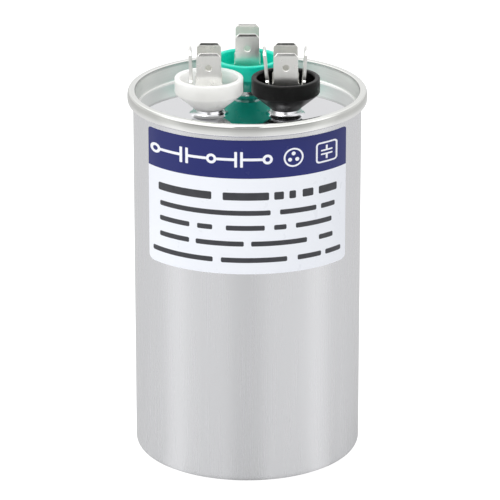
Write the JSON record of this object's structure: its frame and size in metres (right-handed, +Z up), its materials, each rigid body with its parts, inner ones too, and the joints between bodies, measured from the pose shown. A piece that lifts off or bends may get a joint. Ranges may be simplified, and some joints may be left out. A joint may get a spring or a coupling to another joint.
{
  "type": "motor run capacitor",
  "caption": "Round can dual-section motor run capacitor with a seamed cover, three insulated terminal cups and quick-connect blades.",
  "frame": {"origin": "centre of the can's flat base, on its axis", "axes": "+Z up the can's axis to the blades; -Y is the label's side; the two front terminals stand at -X and +X"},
  "size_m": [0.063, 0.063, 0.1124],
  "materials": {
    "can_metal": "drawn aluminium, satin, with faint vertical draw marks",
    "cover_tin": "bright tinplate, near mirror",
    "seal_compound": "rubber-based seaming compound",
    "label_film": "printed film sticker, white field with a dark blue band",
    "white_plastic": "moulded nylon, satin",
    "black_plastic": "moulded nylon, satin",
    "green_plastic": "moulded nylon, glossy",
    "tab_plating": "tin-plated brass, bright",
    "rivet_steel": "tin-plated steel",
    "gasket_rubber": "moulded rubber",
    "phenolic": "phenolic sheet",
    "lug_brass": "plain brass strip",
    "spacer_plastic": "moulded polypropylene",
    "core_plastic": "extruded polypropylene tube",
    "wire_white": "insulated lead",
    "wire_black": "insulated lead",
    "wire_green": "insulated lead",
    "metallised_film": "wound zinc-aluminium metallised polypropylene film",
    "wrap_film": "plastic wrapping film",
    "zinc_spray": "flame-sprayed zinc, rough",
    "tinned_copper": "tinned copper strip"
  },
  "bodies": {
    "root": {"can": "can_metal", "cover": "cover_tin", "seam_compound": "seal_compound", "label": "label_film", "cup_fan": "white_plastic", "cup_common": "black_plastic", "cup_herm": "green_plastic", "clip_fan": "tab_plating", "clip_common": "tab_plating", "clip_herm": "tab_plating", "rivet_fan": "rivet_steel", "rivet_common": "rivet_steel", "rivet_herm": "rivet_steel", "gasket_fan": "gasket_rubber", "gasket_common": "gasket_rubber", "gasket_herm": "gasket_rubber", "bush_fan": "phenolic", "bush_common": "phenolic", "bush_herm": "phenolic", "lug_fan": "lug_brass", "lug_common": "lug_brass", "lug_herm": "lug_brass", "interrupter_plate": "phenolic", "top_spacer": "spacer_plastic", "lead_fan": "wire_white", "lead_common": "wire_black", "lead_herm": "wire_green", "core_tube": "core_plastic", "inner_winding": "metallised_film", "section_wrap": "wrap_film", "outer_winding": "metallised_film", "outer_wrap": "wrap_film", "inner_spray": "zinc_spray", "outer_spray": "zinc_spray", "bottom_spray": "zinc_spray", "common_strap": "tinned_copper", "bottom_cup": "spacer_plastic"}
  },
  "joints": []
}
